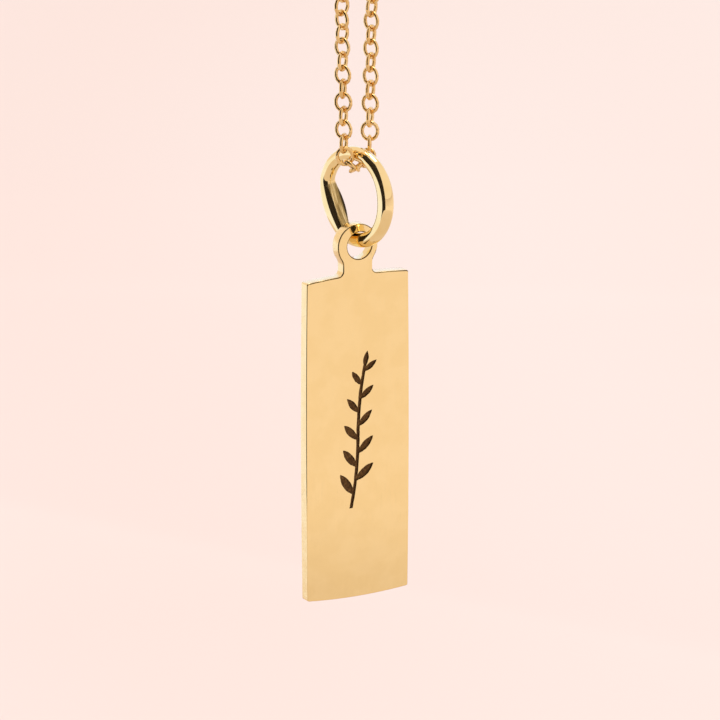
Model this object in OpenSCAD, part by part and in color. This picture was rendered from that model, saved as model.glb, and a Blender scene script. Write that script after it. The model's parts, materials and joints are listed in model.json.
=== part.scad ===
// Nameplate necklace: an upright engraved bar on a heavy round ring, hung from a fine cable chain.
// Millimetres. +Z is up and the engraved face looks towards -Y. The origin is the underside of the
// chain's top turn, where the loop rests on a peg.

/* [Bar] */
// Width of the bar from corner to corner
plate_w = 8; // [6.5:0.1:11]
// Height of the bar from corner to corner
plate_h = 23; // [17:0.5:32]
// Thickness of the sheet that the bar and its ear are cut from
plate_t = 0.86; // [0.6:0.02:1.1]
// How far each short end curves out past its corners
end_bow = 0.18; // [0:0.01:0.35]
// How far each long side curves out past its corners
side_bow = 0.08; // [0:0.01:0.2]
// Radius of the bar's corners
corner_r = 0.15; // [0.05:0.01:0.4]

/* [Ear] */
// Metal left round the ear's hole
ear_wall = 0.615; // [0.45:0.005:0.9]
// Room between the ring's wire and the hole when the wire is centred in it
hole_room = 0.44; // [0.3:0.01:0.6]
// How far the hole sits off the middle of the ear, towards +X
hole_shift = 0.14; // [-0.2:0.01:0.2]
// Gap between the ring's wire and the top of the hole that rests on it
ear_gap = 0.1; // [0.08:0.01:0.16]
// Height of the neck between the bar's edge and the ear
neck_h = 0.48; // [0.3:0.01:0.7]
// Width of the neck
neck_w = 2.3; // [1.8:0.05:2.6]
// Fillet where the neck runs out into the ear
neck_fillet = 0.8; // [0.3:0.05:1]
// Fillet where the neck runs out into the bar's edge
foot_fillet = 0.38; // [0.15:0.01:0.45]

/* [Engraved sprig] */
// Depth of the engraving
cut_depth = 0.12; // [0.05:0.01:0.25]
// Plain metal between each short end of the bar and the sprig
sprig_margin = 5.4; // [4:0.1:6.5]
// Width of the stem
stem_w = 0.26; // [0.15:0.01:0.4]
// Radius of the two arcs that bend the stem
stem_bend = 24; // [15:1:60]
// Length of the lowest leaf
leaf_len = 1.9; // [1.2:0.05:2.4]
// Width of a leaf as a share of its length
leaf_slim = 0.33; // [0.2:0.01:0.45]
// Distance between leaves along the stem
leaf_pitch = 0.98; // [0.7:0.02:1.6]
// Angle between a leaf and the stem
leaf_angle = 44; // [25:1:60]
// Length of the highest leaf as a share of the lowest
leaf_taper = 0.66; // [0.4:0.02:1]

/* [Ring] */
// Radius of the ring at the middle of its wire
ring_r = 3.05; // [2.7:0.05:4]
// Thickness of the ring's wire
ring_wire = 1.03; // [0.8:0.01:1.2]
// Angle that the ring's axis is turned from the bar's face
ring_turn = 14.5; // [0:0.5:18]

/* [Chain] */
// Length of the closed chain with its clasp
chain_len = 406; // [300:1:600]
// Width of the chain
chain_w = 1.28; // [0.9:0.02:1.6]
// Diameter of the peg that the loop hangs on
peg_d = 8.4; // [5:0.2:12]
// Gap where the chain passes under the ring's wire and meets the clasp
link_gap = 0.05; // [0.03:0.01:0.1]

/* [Clasp] */
// Radius of the clasp's body at the middle of its wire
clasp_r = 1.95; // [1.5:0.05:3]
// Thickness of the clasp's wire
clasp_wire = 0.85; // [0.6:0.05:1.1]
// Radius of each end eye at the middle of its wire
eye_r = 0.75; // [0.6:0.05:1]
// Thickness of the eyes' wire
eye_wire = 0.45; // [0.35:0.01:0.5]
// How deep each eye is soldered into the body
eye_lap = 0.3; // [0.2:0.02:0.34]
// Distance along the chain from its top turn to the middle of the clasp
clasp_drop = 14; // [8:0.5:40]

/* [Hidden] */

gold = [0.86, 0.66, 0.33];
round_fn = 96;
arc_fn = 256;
side_steps = 12;
corner_steps = 5;
fillet_steps = 6;
over = 0.01;

// The chain's loop lies in one upright plane: a is the distance along the ring's axis, z the height.
hole_r = ring_wire / 2 + hole_room;
ear_r = hole_r + ear_wall;
turn_r = (peg_d + chain_w) / 2;
bend_r = (ring_wire + chain_w) / 2 + link_gap;
straight_share = (chain_len - PI * (turn_r + bend_r)) / 2;
lean = asin((turn_r - bend_r) / straight_share);
turn_arc = (180 + 2 * lean) * PI / 180 * turn_r;
bend_arc = (180 - 2 * lean) * PI / 180 * bend_r;
strand_len = (chain_len - turn_arc - bend_arc) / 2;
turn_z = -peg_d / 2;
bend_z = turn_z - strand_len / cos(lean);
ring_z = bend_z - ring_r;
hole_z = ring_z - ring_r - (hole_room - ear_gap);
edge_z = hole_z - ear_r - neck_h;
corner_z = edge_z - end_bow;
plate_z = corner_z - plate_h / 2;
axis_way = [-cos(ring_turn), -sin(ring_turn), 0];
wire_way = [sin(ring_turn), -cos(ring_turn), 0];

// Distance from the clasp's middle to the far edge of an eye
eye_out = clasp_r + clasp_wire / 2 + eye_r + eye_wire / 2 - eye_lap;
clasp_half = eye_out + eye_r + eye_wire / 2;

// The chain's tube
tube_sides = 8;
strand_steps = 24;
bend_steps = 10;
turn_steps = 12;

// A side of the bar's outline from p to q, bowed out to its right by the given amount.
function bowed(p, q, bow) =
    let (way = q - p, out = [way[1], -way[0]] / norm(way))
    [for (i = [0 : side_steps])
        let (t = i / side_steps)
        p + way * t + out * bow * 4 * t * (1 - t)];

// The points between the two ends of a corner's arc.
function corner(x, y, start) =
    [for (i = [1 : corner_steps - 1])
        let (a = start + 90 * i / corner_steps)
        [x + corner_r * cos(a), y + corner_r * sin(a)]];

function bar_outline() =
    let (x = plate_w / 2, y = plate_h / 2, cx = x - corner_r, cy = y - corner_r)
    concat(
        bowed([x, -cy], [x, cy], side_bow), corner(cx, cy, 0),
        bowed([cx, y], [-cx, y], end_bow), corner(-cx, cy, 90),
        bowed([-x, cy], [-x, -cy], side_bow), corner(-cx, -cy, 180),
        bowed([-cx, -y], [cx, -y], end_bow), corner(cx, -cy, 270));

// The right side of the keyhole neck, from its foot in the bar's edge to the ear, filleted at both
// ends. Its origin is the ear's middle.
function neck_side() =
    let (
        reach = neck_w / 2 + neck_fillet,
        fall = sqrt(pow(ear_r + neck_fillet, 2) - pow(reach, 2)),
        foot_x = neck_w / 2 + foot_fillet,
        foot_y = -ear_r - neck_h - end_bow * pow(2 * foot_x / plate_w, 2))
    concat(
        [[foot_x, foot_y - corner_r]],
        [for (i = [0 : fillet_steps])
            let (t = 270 - 90 * i / fillet_steps)
            [foot_x, foot_y + foot_fillet] + foot_fillet * [cos(t), sin(t)]],
        [for (i = [0 : fillet_steps])
            let (t = 180 - atan(fall / reach) * i / fillet_steps)
            [reach, -fall] + neck_fillet * [cos(t), sin(t)]]);

// The ear and its neck, with the ear's middle at the origin.
module ear_outline() {
    right = neck_side();
    left = [for (i = [len(right) - 1 : -1 : 0]) [-right[i][0], right[i][1]]];
    circle(ear_r, $fn = round_fn);
    polygon(concat(right, [[neck_w / 2, 0], [-neck_w / 2, 0]], left));
}

// A pointed leaf that grows from the origin along Y.
module leaf(length) {
    width = length * leaf_slim;
    r = (pow(length, 2) + pow(width, 2)) / (4 * width);
    intersection() {
        translate([r - width / 2, length / 2]) circle(r, $fn = round_fn);
        translate([width / 2 - r, length / 2]) circle(r, $fn = round_fn);
    }
}

// The upper half of the stem: it leaves the sprig's middle upright and bends to the right.
module stem_half(half) {
    intersection() {
        translate([stem_bend, 0]) difference() {
            circle(stem_bend + stem_w / 2, $fn = arc_fn);
            circle(stem_bend - stem_w / 2, $fn = arc_fn);
        }
        translate([-stem_w, -over]) square([half + stem_w, half + over]);
    }
}

// A leaf at a distance s along the stem from its middle, turned away from the stem by the given angle.
module leaf_at(s, turn, length) {
    bend = asin(abs(s) / stem_bend);
    translate([sign(s) * stem_bend * (1 - cos(bend)), s]) rotate(turn - bend) leaf(length);
}

// A plain sprig: a bent stem with leaves on alternate sides and one at its tip.
module sprig() {
    half = plate_h / 2 - sprig_margin - leaf_len / 2;
    last = floor((2 * half - leaf_pitch) / leaf_pitch);
    stem_half(half);
    rotate(180) stem_half(half);
    for (i = [0 : last])
        leaf_at(
            (i + 1) * leaf_pitch - half,
            (i % 2 == 0 ? 1 : -1) * leaf_angle,
            leaf_len * (1 - (1 - leaf_taper) * i / last));
    leaf_at(half - stem_w, 0, leaf_len * leaf_taper);
}

module nameplate() {
    ear_y = hole_z - plate_z;
    color(gold) translate([-hole_shift, 0, plate_z]) rotate([90, 0, 0]) difference() {
        linear_extrude(plate_t, center = true) {
            polygon(bar_outline());
            translate([0, ear_y]) ear_outline();
        }
        translate([hole_shift, ear_y, 0])
            cylinder(r = hole_r, h = 2 * plate_t, center = true, $fn = round_fn);
        translate([0, 0, plate_t / 2 - cut_depth]) linear_extrude(cut_depth + over) sprig();
    }
}

// A round wire ring in the XZ plane of the bar, with its axis along Y.
module wire_ring(r, wire) {
    rotate([90, 0, 0]) rotate_extrude($fn = round_fn) translate([r, 0]) circle(wire / 2, $fn = round_fn);
}

module jump_ring() {
    color(gold) translate([0, 0, ring_z]) rotate([0, 0, ring_turn + 90]) wire_ring(ring_r, ring_wire);
}

// A point of the strand on the given side, at a distance d down from the top turn, as [a, z].
function strand_point(side, d) =
    [side * (turn_r * cos(lean) - d * sin(lean)), turn_z - turn_r * sin(lean) - d * cos(lean)];

// The chain's route: down the far strand from the clasp, round under the ring's wire, up the near
// strand, over the top turn and down to the clasp.
function far_strand(from, to, steps) =
    [for (i = [0 : steps]) strand_point(-1, from + (to - from) * i / steps)];
function near_strand() =
    [for (i = [0 : strand_steps]) strand_point(1, strand_len * (1 - i / strand_steps))];
function bend() =
    [for (i = [1 : bend_steps - 1])
        let (t = (90 - lean) * (2 * i / bend_steps - 1))
        [bend_r * sin(t), bend_z - bend_r * cos(t)]];
function turn() =
    [for (i = [1 : turn_steps - 1])
        let (t = (90 + lean) * (1 - 2 * i / turn_steps))
        [turn_r * sin(t), turn_z + turn_r * cos(t)]];
function chain_route() =
    concat(
        far_strand(clasp_drop + clasp_half + link_gap, strand_len, strand_steps), bend(),
        near_strand(), turn(),
        far_strand(0, clasp_drop - clasp_half - link_gap, 2));

// A tube swept along a route in the loop's plane.
module tube(route, width) {
    last = len(route) - 1;
    r = width / 2;
    rings = [for (i = [0 : last])
        let (
            way = route[min(i + 1, last)] - route[max(i - 1, 0)],
            out = [way[1], -way[0]] / norm(way))
        for (k = [0 : tube_sides - 1])
            let (t = 360 * k / tube_sides, p = route[i] + out * r * cos(t))
            axis_way * p[0] + [0, 0, p[1]] + wire_way * r * sin(t)];
    sides = [for (i = [0 : last - 1], k = [0 : tube_sides - 1])
        let (a = i * tube_sides + k, b = i * tube_sides + (k + 1) % tube_sides)
        [a, b, b + tube_sides, a + tube_sides]];
    start = [for (k = [0 : tube_sides - 1]) tube_sides - 1 - k];
    end = [for (k = [0 : tube_sides - 1]) last * tube_sides + k];
    polyhedron(rings, concat([start], sides, [end]));
}

module chain() {
    color(gold) tube(chain_route(), chain_w);
}

// A plain closed clasp in the loop's plane: a round body with an eye soldered to each end.
module clasp() {
    middle = strand_point(-1, clasp_drop);
    color(gold) translate(axis_way * middle[0] + [0, 0, middle[1]])
        rotate([0, 0, ring_turn]) rotate([0, lean, 0]) {
            wire_ring(clasp_r, clasp_wire);
            for (side = [-1, 1])
                translate([0, 0, side * eye_out]) wire_ring(eye_r, eye_wire);
        }
}

nameplate();
jump_ring();
chain();
clasp();
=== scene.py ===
import json
import math
import bmesh
import bpy
from mathutils import Matrix, Vector


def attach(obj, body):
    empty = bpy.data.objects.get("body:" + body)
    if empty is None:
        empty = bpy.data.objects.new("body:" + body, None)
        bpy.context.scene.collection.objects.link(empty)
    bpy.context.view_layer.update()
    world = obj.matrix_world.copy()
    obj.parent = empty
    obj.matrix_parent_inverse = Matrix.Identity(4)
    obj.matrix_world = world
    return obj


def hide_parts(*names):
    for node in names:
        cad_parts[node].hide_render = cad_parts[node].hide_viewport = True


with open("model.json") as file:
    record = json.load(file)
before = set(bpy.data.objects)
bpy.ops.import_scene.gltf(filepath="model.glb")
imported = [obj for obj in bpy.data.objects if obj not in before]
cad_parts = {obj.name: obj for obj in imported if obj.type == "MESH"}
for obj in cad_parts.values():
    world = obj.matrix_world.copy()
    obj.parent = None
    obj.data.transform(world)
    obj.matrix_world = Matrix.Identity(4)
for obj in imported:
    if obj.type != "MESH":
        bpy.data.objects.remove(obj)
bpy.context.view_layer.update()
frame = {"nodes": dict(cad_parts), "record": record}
mm = 0.001


def clearSelection():
    if bpy.context.object and bpy.context.object.mode != "OBJECT":
        bpy.ops.object.mode_set(mode="OBJECT")
    bpy.ops.object.select_all(action="DESELECT")


def pick(piece):
    clearSelection()
    piece.select_set(True)
    bpy.context.view_layer.objects.active = piece


def editWith(piece, mode):
    pick(piece)
    bpy.ops.object.mode_set(mode="EDIT")
    bpy.ops.mesh.select_mode(type=mode)
    bpy.ops.mesh.select_all(action="DESELECT")
    return bmesh.from_edit_mesh(piece.data)


def showPicked(piece, net):
    net.select_flush_mode()
    bmesh.update_edit_mesh(piece.data)


def applyModifier(piece, kind, **settings):
    pick(piece)
    modifier = piece.modifiers.new(kind.title(), kind)
    for name, value in settings.items():
        setattr(modifier, name, value)
    bpy.ops.object.modifier_apply(modifier=modifier.name)


def settle(piece, place):
    # puts the piece in its place and leaves that place in the mesh
    pick(piece)
    piece.matrix_world = place
    bpy.ops.object.transform_apply(location=True, rotation=True, scale=True)


def hang(piece, body, slot, *nodes):
    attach(piece, body)
    if nodes:
        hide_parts(*nodes)


# Sizes in the dictionaries are in millimetres and angles in degrees. The studio's sizes are in metres.
# join is wide enough to close the tiny steps at the neck's foot.
copyFacts = {
    "join": 0.004,
    "flat": 0.05,
}


def copyOfNode(node, name):
    piece = frame["nodes"][node].copy()
    piece.data = piece.data.copy()
    piece.name = name
    piece.data.name = name
    for key in list(piece.keys()):
        del piece[key]
    piece.parent = None
    bpy.context.scene.collection.objects.link(piece)
    pick(piece)
    bpy.ops.object.mode_set(mode="EDIT")
    bpy.ops.mesh.select_mode(type="VERT")
    bpy.ops.mesh.select_all(action="SELECT")
    bpy.ops.mesh.remove_doubles(threshold=copyFacts["join"] * mm)
    bpy.ops.mesh.dissolve_limited(angle_limit=math.radians(copyFacts["flat"]))
    bpy.ops.object.mode_set(mode="OBJECT")
    return piece


# The loop of chain lies in one upright plane. A point in it has a distance a along axisWay and a height.
hangFacts = {
    "chainLength": 406,
    "chainWidth": 1.28,
    "peg": 8.4,
    "ringTurn": 14.5,
    "ringRadius": 3.05,
    "ringWire": 1.03,
    "linkGap": 0.05,
}
ringRadius = hangFacts["ringRadius"]
ringWire = hangFacts["ringWire"]
ringTurn = math.radians(hangFacts["ringTurn"])
axisWay = Vector((-math.cos(ringTurn), -math.sin(ringTurn), 0))
wireWay = Vector((math.sin(ringTurn), -math.cos(ringTurn), 0))
upWay = Vector((0, 0, 1))

# the strands lean together from the turn over the peg to the bend under the ring's wire
turnRadius = (hangFacts["peg"] + hangFacts["chainWidth"]) / 2
bendRadius = (ringWire + hangFacts["chainWidth"]) / 2 + hangFacts["linkGap"]
straight = (hangFacts["chainLength"] - math.pi * (turnRadius + bendRadius)) / 2
lean = math.asin((turnRadius - bendRadius) / straight)
turnArc = (math.pi + 2 * lean) * turnRadius
bendArc = (math.pi - 2 * lean) * bendRadius
strand = (hangFacts["chainLength"] - turnArc - bendArc) / 2
turnHeight = -hangFacts["peg"] / 2
topWire = turnHeight - strand / math.cos(lean)  # the middle of the ring's wire, at the ring's top


def loopPoint(a, height):
    return axisWay * a + upWay * height


# camera
cameraFacts = {
    "azimuth": -28.836,
    "elevation": 15.839,
    "distance": 450,
    "lens": 323.935,
    "look": (0.196, -0.108, -212.435),
    "sensor": 36,
    "clip": (10, 40000),
}


def makeCamera():
    side = math.radians(cameraFacts["azimuth"])
    rise = math.radians(cameraFacts["elevation"])
    back = Vector((math.sin(side) * math.cos(rise), -math.cos(side) * math.cos(rise), math.sin(rise)))
    spot = (Vector(cameraFacts["look"]) + back * cameraFacts["distance"]) * mm
    clearSelection()
    bpy.ops.object.camera_add(location=spot)
    camera = bpy.context.object
    camera.name = "Camera"
    camera.rotation_mode = "QUATERNION"
    camera.rotation_quaternion = (-back).to_track_quat("-Z", "Y")
    camera.data.sensor_width = cameraFacts["sensor"]
    camera.data.lens = cameraFacts["lens"]
    camera.data.clip_start, camera.data.clip_end = [reach * mm for reach in cameraFacts["clip"]]
    bpy.context.scene.camera = camera


makeCamera()
print("camera set")


# shader maths
class Wire:
    def __init__(self, finish, socket):
        self.finish = finish
        self.socket = socket

    def maths(self, operation, first, second):
        return self.finish.node("ShaderNodeMath", {"operation": operation}, {0: first, 1: second})

    def __add__(self, other):
        return self.maths("ADD", self, other)

    def __radd__(self, other):
        return self.maths("ADD", other, self)

    def __sub__(self, other):
        return self.maths("SUBTRACT", self, other)

    def __rsub__(self, other):
        return self.maths("SUBTRACT", other, self)

    def __mul__(self, other):
        return self.maths("MULTIPLY", self, other)

    def __rmul__(self, other):
        return self.maths("MULTIPLY", other, self)

    def __truediv__(self, other):
        return self.maths("DIVIDE", self, other)

    def __gt__(self, other):
        return self.maths("GREATER_THAN", self, other)

    def __lt__(self, other):
        return self.maths("LESS_THAN", self, other)


class Finish:
    def __init__(self, name):
        self.material = bpy.data.materials.new(name)
        self.material.use_nodes = True
        self.tree = self.material.node_tree
        self.shader = self.tree.nodes["Principled BSDF"]

    def feed(self, socket, value):
        if isinstance(value, Wire):
            self.tree.links.new(value.socket, socket)
        else:
            socket.default_value = value

    def node(self, kind, settings=None, inputs=None, output=0):
        made = self.tree.nodes.new(kind)
        for name, value in (settings or {}).items():
            if name == "stops":
                ramp = made.color_ramp
                while len(ramp.elements) < len(value):
                    ramp.elements.new(0.5)
                for stop, (place, tint) in zip(ramp.elements, value):
                    stop.position = place
                    stop.color = tint
            else:
                setattr(made, name, value)
        for name, value in (inputs or {}).items():
            self.feed(made.inputs[name], value)
        return Wire(self, made.outputs[output])

    def place(self):
        return self.node("ShaderNodeTexCoord", output="Object")

    def noise(self, place, size, detail=3, roughness=0.55):
        # size is the rough width of one spot, in millimetres
        inputs = {"Vector": place, "Scale": 1 / (size * mm), "Detail": detail, "Roughness": roughness}
        return self.node("ShaderNodeTexNoise", {"noise_dimensions": "3D"}, inputs)

    def band(self, value, low, high):
        # 0 below low, 1 above high
        inputs = {"Value": value, "From Min": low, "From Max": high}
        return self.node("ShaderNodeMapRange", {"interpolation_type": "SMOOTHSTEP"}, inputs)

    def blend(self, factor, first, second):
        inputs = {0: factor, 6: first, 7: second}
        return self.node("ShaderNodeMix", {"data_type": "RGBA"}, inputs, 2)

    def bump(self, height, depth):
        return self.node("ShaderNodeBump", None, {"Height": height, "Distance": depth * mm, "Strength": 1.0})

    def paint(self, **sockets):
        for name, value in sockets.items():
            self.feed(self.shader.inputs[name.replace("_", " ")], value)
        return self.material


def polishedGold(name, light, deep, rough, waviness):
    # mirror gold with faint cloudy colour, hairline scratches and a very slight waviness
    finish = Finish(name)
    place = finish.place()
    cloud = finish.noise(place, 1.6, 2)
    stretched = finish.node("ShaderNodeMapping", None, {"Vector": place, "Scale": (1, 1, 0.12)})
    hair = finish.noise(stretched, 0.12, 2)
    colour = finish.blend(finish.band(cloud, 0.35, 0.65), light, deep)
    roughness = rough + finish.band(hair, 0.45, 0.8) * 0.07
    wave = finish.noise(place, 2.4, 1)
    normal = finish.bump(wave + hair * 0.006, waviness)
    return finish.paint(Base_Color=colour, Metallic=1.0, Roughness=roughness, Normal=normal)


barGold = polishedGold("Bar gold", (0.925, 0.735, 0.365, 1), (0.905, 0.71, 0.34, 1), 0.05, 0.004)
chainGold = polishedGold("Chain gold", (0.90, 0.66, 0.30, 1), (0.82, 0.56, 0.22, 1), 0.07, 0.002)


def cutEdgeGold():
    # the sawn sides of the sheet: satin, with faint slanted scratches in places
    finish = Finish("Cut edge gold")
    place = finish.place()
    slant = (0, 0.75, 1)
    step = 1.15 * mm
    wander = finish.noise(place, 3, 2) * 1.2
    slope = finish.node("ShaderNodeVectorMath", {"operation": "DOT_PRODUCT"}, {0: place, 1: slant}, 1)
    row = finish.node("ShaderNodeMath", {"operation": "FRACT"}, {0: slope * (1 / step) + wander})
    worn = finish.band(finish.noise(place, 2.1, 2), 0.48, 0.66)
    scratch = (1 - finish.band(row, 0.02, 0.14)) * worn
    grain = finish.noise(place, 0.15, 3)
    soft = finish.noise(place, 0.8, 2)
    pale = finish.blend(finish.band(soft, 0.35, 0.65), (0.94, 0.72, 0.34, 1), (0.96, 0.76, 0.39, 1))
    colour = finish.blend(scratch * 0.25, pale, (0.70, 0.52, 0.25, 1))
    normal = finish.bump(soft + grain * 0.1 - scratch * 0.15, 0.02)
    return finish.paint(Base_Color=colour, Metallic=1.0, Roughness=0.24, Normal=normal)


def paintedEdgeReflectionGold():
    # the narrow dark line round the front's edges: painted dark reflection on the rounding, in patches
    finish = Finish("Painted edge reflection gold")
    place = finish.place()
    patch = finish.noise(place, 0.9, 3)
    colour = finish.blend(finish.band(patch, 0.35, 0.7), (0.10, 0.065, 0.025, 1), (0.34, 0.24, 0.09, 1))
    normal = finish.bump(patch, 0.004)
    return finish.paint(Base_Color=colour, Metallic=1.0, Roughness=0.22, Normal=normal)


edgeGold = cutEdgeGold()
paintedEdgeReflection = paintedEdgeReflectionGold()


def engravedGold():
    # the burnt, rough floor of the engraving
    finish = Finish("Engraved gold")
    place = finish.place()
    grain = finish.noise(place, 0.11, 4, 0.7)
    patch = finish.noise(place, 0.5, 2)
    stops = [
        (0.30, (0.030, 0.012, 0.003, 1)),
        (0.50, (0.115, 0.055, 0.014, 1)),
        (0.72, (0.34, 0.20, 0.06, 1)),
    ]
    colour = finish.node("ShaderNodeValToRGB", {"stops": stops}, {0: grain * 0.75 + patch * 0.25})
    normal = finish.bump(grain, 0.03)
    return finish.paint(Base_Color=colour, Metallic=0.7, Roughness=0.62, Normal=normal)


burntGold = engravedGold()


# nameplate
plateFacts = {
    "front": -0.43,
    "back": 0.43,
    "floor": -0.31,
    "middle": (-0.14, -217.840),
    "sprigHalf": (2.6, 6.6),
    "hole": (0, -204.110, 1.05),
    "shoulder": -206.2,
    "edge": 0.075,
    "edgeSteps": 3,
    "ragged": 0.022,
    "raggedPiece": 0.2,
    "raggedCuts": 2,
    "raggedSeed": 4,
    "engraved": 0.13,
    "sharp": 50,
    "smooth": 32,
    "near": 0.002,
}
# which strips of the rounding carry the painted dark reflection line, by the way a face looks: its normal's
# y, z and x
paintedLineFacts = {
    "slope": (-0.97, -0.5),
    "up": 0.1,
    "left": 0.25,
}


def atLevel(point, level):
    return abs(point.y / mm - level) < plateFacts["near"]


def inSprig(point):
    midX, midZ = plateFacts["middle"]
    halfX, halfZ = plateFacts["sprigHalf"]
    return abs(point.x / mm - midX) < halfX and abs(point.z / mm - midZ) < halfZ


def inHole(point):
    holeX, holeZ, holeRadius = plateFacts["hole"]
    return math.hypot(point.x / mm - holeX, point.z / mm - holeZ) < holeRadius


def isSharp(edge):
    return len(edge.link_faces) == 2 and edge.calc_face_angle() > math.radians(plateFacts["sharp"])


def isEngraved(face):
    middle = face.calc_center_median()
    depth = middle.y / mm - plateFacts["front"]
    return inSprig(middle) and plateFacts["near"] < depth < plateFacts["engraved"]


def isSawn(face):
    # an upright wall in the middle of the sheet's thickness, but not the hole's
    middle = face.calc_center_median()
    outside = not inSprig(middle) and not inHole(middle)
    return outside and abs(face.normal.y) < 0.1 and abs(middle.y / mm) < 0.1


def isPaintedLine(face):
    # the outermost strip of the rounding stays polished and shows as a white line; the strips nearer the
    # front that are picked here get the painted dark reflection
    middle = face.calc_center_median()
    low, high = paintedLineFacts["slope"]
    sloped = not inSprig(middle) and low < face.normal.y < high
    atEar = middle.z / mm > plateFacts["shoulder"] and face.normal.x < paintedLineFacts["left"]
    return sloped and (face.normal.z > paintedLineFacts["up"] or atEar or inHole(middle))


def roundEdges(piece):
    net = editWith(piece, "EDGE")
    for edge in net.edges:
        ends = [v.co for v in edge.verts]
        flat = any(all(atLevel(p, plateFacts[side]) for p in ends) for side in ("front", "back"))
        edge.select = flat and isSharp(edge) and not all(inSprig(p) for p in ends)
    showPicked(piece, net)
    bpy.ops.mesh.bevel(offset=plateFacts["edge"] * mm, segments=plateFacts["edgeSteps"], profile=0.5,
                       clamp_overlap=False)


def ragEngraving(piece, level):
    # the engraving's outline at one level is cut into short pieces and made a little ragged
    net = editWith(piece, "EDGE")
    for edge in net.edges:
        flat = all(atLevel(v.co, level) and inSprig(v.co) for v in edge.verts)
        edge.select = flat and isSharp(edge) and edge.calc_length() > plateFacts["raggedPiece"] * mm
    showPicked(piece, net)
    bpy.ops.mesh.subdivide(number_cuts=plateFacts["raggedCuts"])
    net = editWith(piece, "VERT")
    for vert in net.verts:
        flat = atLevel(vert.co, level) and inSprig(vert.co)
        vert.select = flat and any(isSharp(edge) for edge in vert.link_edges)
    showPicked(piece, net)
    bpy.ops.transform.vertex_random(
        offset=plateFacts["ragged"] * mm, uniform=0, normal=0, seed=plateFacts["raggedSeed"])
    bpy.ops.transform.resize(value=(1, 0, 1), center_override=(0, level * mm, 0))


def paintFaces(piece, slot, wanted):
    net = editWith(piece, "FACE")
    for face in net.faces:
        face.select = wanted(face)
    showPicked(piece, net)
    piece.active_material_index = slot
    bpy.ops.object.material_slot_assign()


def makeNameplate():
    piece = copyOfNode("nameplate", "Nameplate")
    roundEdges(piece)
    for side in ("front", "floor"):
        ragEngraving(piece, plateFacts[side])
    bpy.ops.object.mode_set(mode="OBJECT")
    piece.data.materials.clear()
    for finish in (barGold, burntGold, edgeGold, paintedEdgeReflection):
        piece.data.materials.append(finish)
    # slot 3 carries the painted dark reflection along the front's rounded edges
    for slot, wanted in ((1, isEngraved), (2, isSawn), (3, isPaintedLine)):
        paintFaces(piece, slot, wanted)
    pick(piece)
    bpy.ops.object.shade_smooth_by_angle(angle=math.radians(plateFacts["smooth"]))
    applyModifier(piece, "WEIGHTED_NORMAL", mode="FACE_AREA", weight=100, keep_sharp=True)
    hang(piece, "bar", "bar_gold", "nameplate")
    return piece


nameplate = makeNameplate()
print("nameplate made:", len(nameplate.data.polygons), "faces")


# ring
ringFacts = {
    "around": 144,
    "section": 32,
    "padAngle": 206,
    "padReach": 60,
    "padDistance": 1.96,
    "padSoft": 0.07,
    "padBend": 0.68,
    "padBendOuter": 0.3,
    "padLevel": 2.05,
    "padTilt": 0.213,
    "padFade": (0.07, 0.03),
    "padPaintedDarkRim": (-0.26, -0.36),
    "padHalf": 1.62,
    "padBroad": 0.6,
    "padFlat": ((0.533, 0.236), (0.69, -0.50)),  # its two ends in the wire's section, inwards and forwards
    "padTurns": (62.7, 135, 170),  # where the flat starts and ends, and where the round begins again
    "broadAngle": 2,
    "broadReach": 72,
    "broadInner": 0.35,
    "broadOuter": 0.14,
}


def streakedGoldWithPaintedReflection():
    # the ring's gold, with a filed pad that is streaked along its length; the streaks' dark tones and the
    # pad's almost black back edge are painted dark reflection
    finish = Finish("Ring gold")
    place = finish.place()
    angle = math.radians(ringFacts["padAngle"])
    centre = upWay * (topWire - ringRadius)
    padOut = wireWay * math.cos(angle) + upWay * math.sin(angle)
    padAlong = upWay * math.cos(angle) - wireWay * math.sin(angle)

    def along(way):
        # millimetres along way from the ring's middle
        flat = finish.node("ShaderNodeVectorMath", {"operation": "DOT_PRODUCT"}, {0: place, 1: tuple(way)}, 1)
        return flat * (1 / mm) - centre.dot(way)

    out = along(padOut)
    length = along(padAlong)
    across = along(axisWay)
    half = ringFacts["padHalf"]
    fade = [ringFacts["padLevel"] + step for step in ringFacts["padFade"]]
    level = finish.band(out - across * ringFacts["padTilt"], *fade)
    ends = finish.band(length * length, half * half, half * half * 0.8)
    pad = level * ends * (out > 0)
    # painted dark reflection: the mask of the pad's back edge, which is painted almost black
    paintedDarkRim = finish.band(across, *ringFacts["padPaintedDarkRim"])
    lanes = finish.node("ShaderNodeCombineXYZ", None, {0: across, 1: length * 0.07, 2: 0})
    streak = finish.node("ShaderNodeTexNoise", {"noise_dimensions": "3D"},
                         {"Vector": lanes, "Scale": 6.5, "Detail": 3, "Roughness": 0.6})
    fine = finish.node("ShaderNodeTexNoise", {"noise_dimensions": "3D"},
                       {"Vector": lanes, "Scale": 24, "Detail": 2, "Roughness": 0.6})
    # the darker stops are painted dark reflection over the filing marks
    stops = [
        (0.32, (0.09, 0.06, 0.02, 1)),
        (0.50, (0.45, 0.33, 0.125, 1)),
        (0.66, (0.92, 0.77, 0.42, 1)),
    ]
    lanesColour = finish.node("ShaderNodeValToRGB", {"stops": stops}, {0: streak * 0.8 + fine * 0.2})
    # the almost black colour is the painted dark reflection at the pad's back edge
    filedWithPaintedReflection = finish.blend(paintedDarkRim, lanesColour, (0.05, 0.035, 0.015, 1))
    cloud = finish.noise(place, 1.6, 2)
    polished = finish.blend(finish.band(cloud, 0.35, 0.65), (0.95, 0.77, 0.39, 1), (0.92, 0.72, 0.33, 1))
    hair = finish.noise(place, 0.12, 2)
    roughness = 0.04 + finish.band(hair, 0.5, 0.8) * 0.05 + pad * 0.2
    normal = finish.bump(finish.noise(place, 2.4, 1) * 0.2 + streak * pad * 2, 0.01)
    return finish.paint(Base_Color=finish.blend(pad, polished, filedWithPaintedReflection), Metallic=1.0, Roughness=roughness,
                        Normal=normal)


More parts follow.
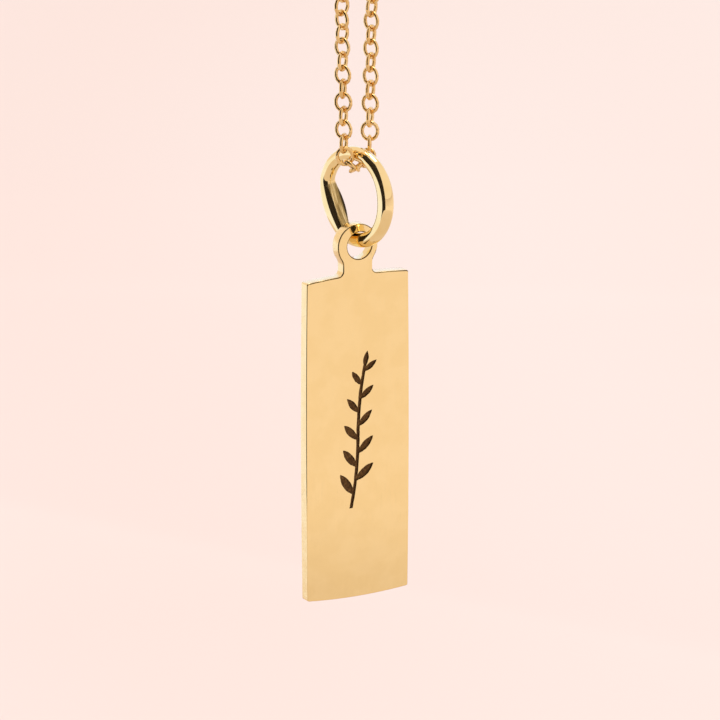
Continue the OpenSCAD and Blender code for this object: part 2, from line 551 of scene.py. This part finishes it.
ringGold = streakedGoldWithPaintedReflection()


def between(first, second, share):
    return [a + (b - a) * share for a, b in zip(first, second)]


def roundSection(degrees):
    angle = math.radians(degrees)
    return [ringFacts["padBroad"] * math.sin(angle), ringWire / 2 * math.cos(angle)]


def padSection(turn):
    # the wire's section at the pad, inwards and forwards in mm, by the turn from the front towards the inside
    padStart, padEnd = ringFacts["padFlat"]
    flatFrom, flatTo, roundFrom = ringFacts["padTurns"]
    if flatFrom < turn <= flatTo:
        return between(padStart, padEnd, (turn - flatFrom) / (flatTo - flatFrom))
    if flatTo < turn < roundFrom:
        return between(padEnd, roundSection(roundFrom), (turn - flatTo) / (roundFrom - flatTo))
    return roundSection(turn)


def pressLimb(piece):
    # the right limb is a little broader inwards, where the wire was pressed flat
    reach = math.radians(ringFacts["broadReach"])
    for vert in piece.data.vertices:
        point = vert.co / mm
        turn = math.atan2(point.y, point.x) - math.radians(ringFacts["broadAngle"])
        if abs(turn) > reach:
            continue
        out = math.hypot(point.x, point.y)
        side = (out - ringRadius) / (ringWire / 2)
        share = math.cos(turn / reach * math.pi / 2) ** 2
        inwards = ringFacts["broadInner"] if side < 0 else ringFacts["broadOuter"]
        newOut = out - inwards * share * abs(side)
        vert.co = Vector((point.x * newOut / out, point.y * newOut / out, point.z)) * mm


def bendLimb(piece):
    # the left limb is bent inwards along a straight chord and has a flat pad on its inner side
    inside = ringRadius - ringWire / 2
    most = inside - ringFacts["padDistance"]
    for vert in piece.data.vertices:
        point = vert.co / mm
        turn = math.atan2(point.y, point.x) % (2 * math.pi) - math.radians(ringFacts["padAngle"])
        if abs(turn) > math.radians(ringFacts["padReach"]):
            continue
        out = math.hypot(point.x, point.y)
        chord = inside - ringFacts["padDistance"] / math.cos(turn)
        push = (chord + math.hypot(chord, ringFacts["padSoft"])) / 2
        share = min(1.0, push / most)
        inward = ringRadius - out
        section = padSection(math.degrees(math.atan2(inward, point.z)))
        # the outer side is bent less than the middle and the inner side
        outer = max(0.0, -inward / (ringWire / 2))
        bend = ringFacts["padBend"] + (ringFacts["padBendOuter"] - ringFacts["padBend"]) * outer
        inward += (section[0] - inward) * share + bend * push
        forward = point.z + (section[1] - point.z) * share
        newOut = ringRadius - inward
        vert.co = Vector((point.x * newOut / out, point.y * newOut / out, forward)) * mm


def makeRing():
    clearSelection()
    bpy.ops.mesh.primitive_torus_add(
        major_radius=ringRadius * mm, minor_radius=ringWire / 2 * mm,
        major_segments=ringFacts["around"], minor_segments=ringFacts["section"])
    piece = bpy.context.object
    piece.name = "Ring"
    pressLimb(piece)
    bendLimb(piece)
    centre = upWay * (topWire - ringRadius) * mm
    turned = Matrix((wireWay, upWay, axisWay)).transposed().to_4x4()
    settle(piece, Matrix.Translation(centre) @ turned)
    pick(piece)
    bpy.ops.object.shade_smooth()
    piece.data.materials.append(ringGold)
    hang(piece, "ring", "ring_gold", "jump_ring")
    return piece


ring = makeRing()
print("ring made:", len(ring.data.polygons), "faces")


# chain
# nearTurns and farTurns turn each strand's lowest links about it, from the foot up, and their last number
# holds for the links above. claspDrop runs down the far strand from the top turn to the clasp's middle.
chainFacts = {
    "pitch": 0.967,
    "length": 1.519,
    "width": 1.37,
    "wire": 0.276,
    "around": 14,
    "section": 6,
    "nearFoot": 0.467,
    "farFoot": -0.037,
    "nearTurns": [62, 68, 64, 62, 58, 74, 70, 82, 82, 92, 90],
    "farTurns": [-46, -52, -60, -68, -67, -79, -68, -82, -68, -82, -75],
    "claspDrop": 14,
    "eyeOut": 3.05,
    "eyeGrip": 1.01,
}
# The four links that hang under the ring's wire start from three joints, along axisWay and up from the
# middle of that wire, and settle from there. A larger inertia, in mm2, makes a link shift more and turn
# less when it is pushed. slack is the overlap at which the pushing stops.
hungFacts = {
    "joints": [(1.0, -0.4), (0.2, -1.0), (-0.7, -0.9)],
    "turns": [-50, 10, -35, 20],
    "ringGap": 0.015,
    "swingStep": 15,
    "linePoints": 40,
    "inertia": 0.16,
    "rounds": 200,
    "slack": 0.001,
}


def strandPoint(side, down):
    # side is 1 on the near strand and -1 on the far one
    a = side * (turnRadius * math.cos(lean) - down * math.sin(lean))
    return Vector((a, turnHeight - turnRadius * math.sin(lean) - down * math.cos(lean)))


def routePoint(distance):
    # distance runs up the near strand from its foot, over the top turn and down the far strand
    if distance < strand:
        return strandPoint(1, strand - distance)
    if distance < strand + turnArc:
        turn = math.pi / 2 + lean - (distance - strand) / turnRadius
        return Vector((turnRadius * math.sin(turn), turnHeight + turnRadius * math.cos(turn)))
    return strandPoint(-1, distance - strand - turnArc)


def linkHalves():
    # half the length and half the width of the middle line of a link's wire
    return [(chainFacts[size] - chainFacts["wire"]) / 2 for size in ("length", "width")]


def makeLink():
    long, wide = linkHalves()
    clearSelection()
    bpy.ops.mesh.primitive_torus_add(
        major_radius=wide * mm, minor_radius=chainFacts["wire"] / 2 * mm,
        major_segments=chainFacts["around"], minor_segments=chainFacts["section"])
    link = bpy.context.object
    link.name = "Link"
    # the wire is stretched lengthwise only at its middle line, so that it stays round
    for vert in link.data.vertices:
        share = vert.co.x / math.hypot(vert.co.x, vert.co.y)
        vert.co.x += share * (long - wide) * mm
    pick(link)
    bpy.ops.object.shade_smooth()
    link.data.materials.append(chainGold)
    return link


def linkAt(spot, way, degrees):
    # the turn leads from the wire's way to the outside of the loop
    turn = math.radians(degrees)
    flat = (wireWay - way * way.dot(wireWay)).normalized()
    across = flat * math.cos(turn) + way.cross(flat) * math.sin(turn)
    turned = Matrix((way, across, way.cross(across))).transposed().to_4x4()
    return Matrix.Translation(spot * mm) @ turned


def linkPlace(first, second, degrees):
    # first and second are joints in the loop's plane
    start = loopPoint(*first)
    end = loopPoint(*second)
    return linkAt((start + end) / 2, (end - start).normalized(), degrees)


def linkLine():
    # points along the middle of a link's wire
    long, wide = linkHalves()
    count = hungFacts["linePoints"]
    turns = [2 * math.pi * i / count for i in range(count)]
    return [Vector((long * math.cos(turn), wide * math.sin(turn), 0)) * mm for turn in turns]


def nearestPoints(first, second):
    pairs = [((p - q).length, p, q) for p in first for q in second]
    return min(pairs, key=lambda pair: pair[0])


def ringCentres():
    # where the ring's middle comes to in its whole swing
    joint = frame["record"]["behaviour"]["joints"][0]
    low, high = [round(limit) for limit in joint["range_deg"]]
    pivot = upWay * joint["pos_m"][2]
    arm = pivot.z - (topWire - ringRadius) * mm
    swings = [math.radians(angle) for angle in range(low, high + 1, hungFacts["swingStep"])]
    return [pivot + (wireWay * math.sin(swing) - upWay * math.cos(swing)) * arm for swing in swings]


def nearestRing(point, centres):
    # the nearest point of the middle of the ring's wire, with the ring's middle at any of the centres
    found = []
    for centre in centres:
        flat = point - centre
        flat -= axisWay * flat.dot(axisWay)
        spot = centre + flat.normalized() * ringRadius * mm
        found.append(((point - spot).length, point, spot))
    return min(found, key=lambda pair: pair[0])


def ease(place, spot, way):
    # how readily a link gives way to a push at a spot, because it shifts and also turns about its middle
    arm = (spot - place.translation).cross(way)
    return 1 + arm.length_squared / (hungFacts["inertia"] * mm * mm)


def pushed(place, spot, way, size):
    arm = (spot - place.translation).cross(way)
    angle = arm.length * size / (hungFacts["inertia"] * mm * mm)
    turned = Matrix.Rotation(angle, 3, arm) @ place.to_3x3()
    return Matrix.Translation(place.translation + way * size) @ turned.to_4x4()


def settleLinks(places):
    # pushes the links off each other and off the ring until their wires are clear; the outer two are held
    line = linkLine()
    centres = ringCentres()
    held = (0, len(places) - 1)
    linkClear = chainFacts["wire"] * mm
    ringClear = ((ringWire + chainFacts["wire"]) / 2 + hungFacts["ringGap"]) * mm
    pairs = [(i, i + step) for step in (1, 2) for i in range(len(places) - step)]
    for _ in range(hungFacts["rounds"]):
        tightest = 0
        for i, j in pairs:
            gap, p, q = nearestPoints([places[i] @ v for v in line], [places[j] @ v for v in line])
            way = (p - q).normalized()
            moved = [(k, spot, side) for k, spot, side in ((i, p, 1), (j, q, -1)) if k not in held]
            if gap < linkClear and moved:
                share = (linkClear - gap) / sum(ease(places[k], spot, way) for k, spot, side in moved)
                for k, spot, side in moved:
                    places[k] = pushed(places[k], spot, way * side, share)
                tightest = max(tightest, linkClear - gap)
        for k in range(1, len(places) - 1):
            gap, p, q = min((nearestRing(places[k] @ v, centres) for v in line), key=lambda pair: pair[0])
            if gap < ringClear:
                way = (p - q).normalized()
                places[k] = pushed(places[k], p, way, (ringClear - gap) / ease(places[k], p, way))
                tightest = max(tightest, ringClear - gap)
        if tightest < hungFacts["slack"] * mm:
            break
    print("hung links settled, tightest", round(tightest / mm, 4), "mm")
    return places


def joinLinks(template, places, name):
    copies = []
    for place in places:
        link = template.copy()
        link.data = template.data.copy()
        bpy.context.scene.collection.objects.link(link)
        link.matrix_world = place
        copies.append(link)
    clearSelection()
    for link in copies:
        link.select_set(True)
    bpy.context.view_layer.objects.active = copies[0]
    bpy.ops.object.join()
    piece = bpy.context.object
    piece.name = name
    piece.data.name = name
    pick(piece)
    bpy.ops.object.transform_apply(location=True, rotation=True, scale=True)
    return piece


def runJoints(start, end, count):
    return [routePoint(start + (end - start) * i / count) for i in range(count + 1)]


def strandPlaces(joints, turns, side):
    # from the foot up, for links that point down the near strand, side 1, and up the far one, side -1
    places = []
    for i, ends in enumerate(zip(joints, joints[1:])):
        turn = turns[min(i, len(turns) - 1)] - 90 * side * (i % 2)
        if i == len(joints) - 2:
            turn = 0
        places.append(linkPlace(*ends[::-side], turn))
    return places


def makeChain():
    pitch = chainFacts["pitch"]
    whole = strand * 2 + turnArc
    below = topWire - strandPoint(1, strand).y
    nearFoot = (below + chainFacts["nearFoot"]) / math.cos(lean)
    farFoot = whole - (below + chainFacts["farFoot"]) / math.cos(lean)
    grip = chainFacts["eyeOut"] + chainFacts["eyeGrip"] - pitch / 2
    claspAt = strand + turnArc + chainFacts["claspDrop"]
    upperEnd = claspAt - grip
    lowerEnd = claspAt + grip
    upCount = round((upperEnd - nearFoot) / pitch)
    downCount = round((farFoot - lowerEnd) / pitch)
    near = runJoints(nearFoot, upperEnd, upCount)
    far = runJoints(farFoot, lowerEnd, downCount)
    nearPlaces = strandPlaces(near, chainFacts["nearTurns"], 1)
    farPlaces = strandPlaces(far, chainFacts["farTurns"], -1)
    joints = [near[0]] + [(a, topWire + up) for a, up in hungFacts["joints"]] + [far[0]]
    hung = [linkPlace(*ends) for ends in zip(joints, joints[1:], hungFacts["turns"])]
    hung = settleLinks([nearPlaces[0]] + hung + [farPlaces[0]])[1:-1]
    places = hung + nearPlaces + farPlaces
    template = makeLink()
    piece = joinLinks(template, places, "ChainLinks")
    bpy.data.objects.remove(template)
    hang(piece, "chain", "chain_gold", "chain")
    print("links:", len(places), "pitch", (upperEnd - nearFoot) / upCount, (farFoot - lowerEnd) / downCount)
    return piece


chain = makeChain()
print("chain made:", len(chain.data.polygons), "faces")


# clasp
claspFacts = {
    "smooth": 40,
}


def makeClasp():
    piece = copyOfNode("clasp", "Clasp")
    piece.data.materials.clear()
    piece.data.materials.append(chainGold)
    pick(piece)
    bpy.ops.object.shade_smooth_by_angle(angle=math.radians(claspFacts["smooth"]))
    hang(piece, "chain", "chain_gold", "clasp")
    return piece


clasp = makeClasp()
print("clasp made:", len(clasp.data.polygons), "faces")


# studio
studioFacts = {
    "floor": -0.33,
    "floorSize": 12,
    "world": (1.0, 0.865, 0.81, 1),
    "worldLight": 1.0,
    "floorPale": (0.735, 0.700, 0.696, 1),
    "floorDeep": (0.735, 0.650, 0.626, 1),
    "patch": 170,  # in millimetres, as noise takes it
    "patchDepth": 3.6,
}
# a card's left and right ends are angles about the necklace: 0 on the camera's side, 90 on its right
cardFacts = {
    "sides": 90,
    "cuts": 24,
    "leanFrom": -0.20,
    "leanOver": 0.20,
}
darkCardFacts = {
    "radius": 0.34,
    "low": -0.329,
    "high": 0.66,
    "left": -74,
    "leftHigh": -96,
    "right": 6,
    "tint": (0.012, 0.009, 0.007, 1),
}
whiteCardFacts = {
    "radius": 0.3,
    "low": -0.329,
    "high": -0.2,
    "left": -172,
    "leftHigh": -172,
    "right": -75,
    "tint": (0.83, 0.85, 1, 1),
    "strength": 1.26,
}
backCardFacts = {
    "radius": 0.3,
    "low": -0.2,
    "high": 0.0,
    "left": 148,
    "leftHigh": 148,
    "right": 212,
    "tint": (0.65, 0.72, 1, 1),
    "strength": 1.52,
}
# stops say how bright the floor looks in the gold, by distance in metres from under the ring
nearFloorFacts = {
    "size": 0.52,
    "sides": 96,
    "lift": 0.002,
    "stops": [
        (0.0, 0.84), (0.15, 0.84), (0.27, 0.86), (0.308, 0.88), (0.325, 0.97), (0.345, 1.03), (0.52, 1.0)],
    "tint": (0.975, 0.815, 0.765),
    "deepTint": (0.95, 0.70, 0.56),
    "deepest": 0.58,
}
keyLightFacts = {
    "spot": (0.5, 0.3, 1.3),
    "aim": (0, 0, -0.2),
    "size": 0.9,
    "power": 11,
    "tint": (1, 0.98, 0.95),
}


def onlyInGold(card):
    # seen by reflected rays alone
    card.visible_camera = False
    card.visible_diffuse = False
    card.visible_transmission = False
    card.visible_shadow = False


def makeFloor():
    clearSelection()
    bpy.ops.mesh.primitive_plane_add(size=studioFacts["floorSize"], location=(0, 0, studioFacts["floor"]))
    floor = bpy.context.object
    floor.name = "Floor"
    finish = Finish("Pale floor")
    # the patches are long in depth, so that they look round from the front
    deep = (1, studioFacts["patchDepth"], 1)
    turned = (0, 0, math.radians(cameraFacts["azimuth"]))
    inputs = {"Vector": finish.place(), "Rotation": turned, "Scale": deep}
    place = finish.node("ShaderNodeMapping", {"vector_type": "TEXTURE"}, inputs)
    soft = finish.band(finish.noise(place, studioFacts["patch"], 1), 0.3, 0.7)
    colour = finish.blend(soft, studioFacts["floorDeep"], studioFacts["floorPale"])
    floor.data.materials.append(finish.paint(Base_Color=colour, Roughness=0.9))


def makeCard(name, facts, finish):
    # an upright card that curves round the necklace; its left end may lean out towards the top
    clearSelection()
    low = facts["low"]
    high = facts["high"]
    bpy.ops.mesh.primitive_cylinder_add(
        vertices=cardFacts["sides"], radius=facts["radius"], depth=high - low, end_fill_type="NOTHING",
        location=(0, 0, (high + low) / 2))
    card = bpy.context.object
    card.name = name
    settle(card, card.matrix_world.copy())
    net = editWith(card, "EDGE")
    for edge in net.edges:
        ends = [v.co for v in edge.verts]
        edge.select = abs(ends[0].z - ends[1].z) > (high - low) / 2
    showPicked(card, net)
    bpy.ops.mesh.subdivide(number_cuts=cardFacts["cuts"])
    net = editWith(card, "FACE")
    cameraWay = math.radians(-90 + cameraFacts["azimuth"])
    centre = (facts["left"] + facts["right"]) / 2
    for face in net.faces:
        middle = face.calc_center_median()
        turn = math.degrees(math.atan2(middle.y, middle.x) - cameraWay)
        turn = (turn - centre + 180) % 360 - 180 + centre
        share = max(0.0, min(1.0, (middle.z - cardFacts["leanFrom"]) / cardFacts["leanOver"]))
        left = facts["left"] + (facts["leftHigh"] - facts["left"]) * share
        face.select = not left < turn < facts["right"]
    showPicked(card, net)
    bpy.ops.mesh.delete(type="FACE")
    pick(card)
    card.data.materials.append(finish)
    onlyInGold(card)


def glow(finish, colour, strength):
    black = (0, 0, 0, 1)
    return finish.paint(Base_Color=black, Roughness=1.0, Emission_Color=colour, Emission_Strength=strength)


def makeNearFloor():
    # a glowing disc seen only in the gold, standing in for the floor close under it: a painted reflection,
    # darker and warmer towards the middle
    clearSelection()
    size = nearFloorFacts["size"]
    sides = nearFloorFacts["sides"]
    spot = (0, 0, studioFacts["floor"] + nearFloorFacts["lift"])
    bpy.ops.mesh.primitive_circle_add(vertices=sides, radius=size, fill_type="NGON", location=spot)
    card = bpy.context.object
    card.name = "NearFloor"
    settle(card, card.matrix_world.copy())
    finish = Finish("Near floor")
    flat = finish.node("ShaderNodeVectorMath", {"operation": "MULTIPLY"}, {0: finish.place(), 1: (1, 1, 0)})
    reach = finish.node("ShaderNodeVectorMath", {"operation": "LENGTH"}, {0: flat}, 1)
    stops = []
    for place, level in nearFloorFacts["stops"]:
        share = max(0.0, (1.0 - level) / nearFloorFacts["deepest"])
        tint = between(nearFloorFacts["tint"], nearFloorFacts["deepTint"], share)
        stops.append((place / size, [part * level for part in tint] + [1]))
    colour = finish.node("ShaderNodeValToRGB", {"stops": stops}, {0: reach / size})
    card.data.materials.append(glow(finish, colour, 1.0))
    onlyInGold(card)


def makeKeyLight():
    clearSelection()
    spot = Vector(keyLightFacts["spot"])
    bpy.ops.object.light_add(type="AREA", location=spot)
    light = bpy.context.object
    light.name = "KeyLight"
    light.data.shape = "SQUARE"
    light.data.size = keyLightFacts["size"]
    light.data.energy = keyLightFacts["power"]
    light.data.color = keyLightFacts["tint"]
    light.rotation_mode = "QUATERNION"
    light.rotation_quaternion = (Vector(keyLightFacts["aim"]) - spot).to_track_quat("-Z", "Y")


def makeStudio():
    world = bpy.data.worlds.new("Studio")
    bpy.context.scene.world = world
    world.use_nodes = True
    sky = world.node_tree.nodes["Background"]
    sky.inputs["Color"].default_value = studioFacts["world"]
    sky.inputs["Strength"].default_value = studioFacts["worldLight"]
    makeFloor()
    dark = Finish("Dark card")
    makeCard("DarkCard", darkCardFacts, dark.paint(Base_Color=darkCardFacts["tint"], Roughness=1.0))
    glowing = (("WhiteCard", "White card", whiteCardFacts), ("BackCard", "Back card", backCardFacts))
    for name, title, facts in glowing:
        makeCard(name, facts, glow(Finish(title), facts["tint"], facts["strength"]))
    makeNearFloor()
    makeKeyLight()
    bpy.context.scene.view_settings.view_transform = "Standard"
    bpy.context.scene.view_settings.look = "None"


makeStudio()
print("studio made")
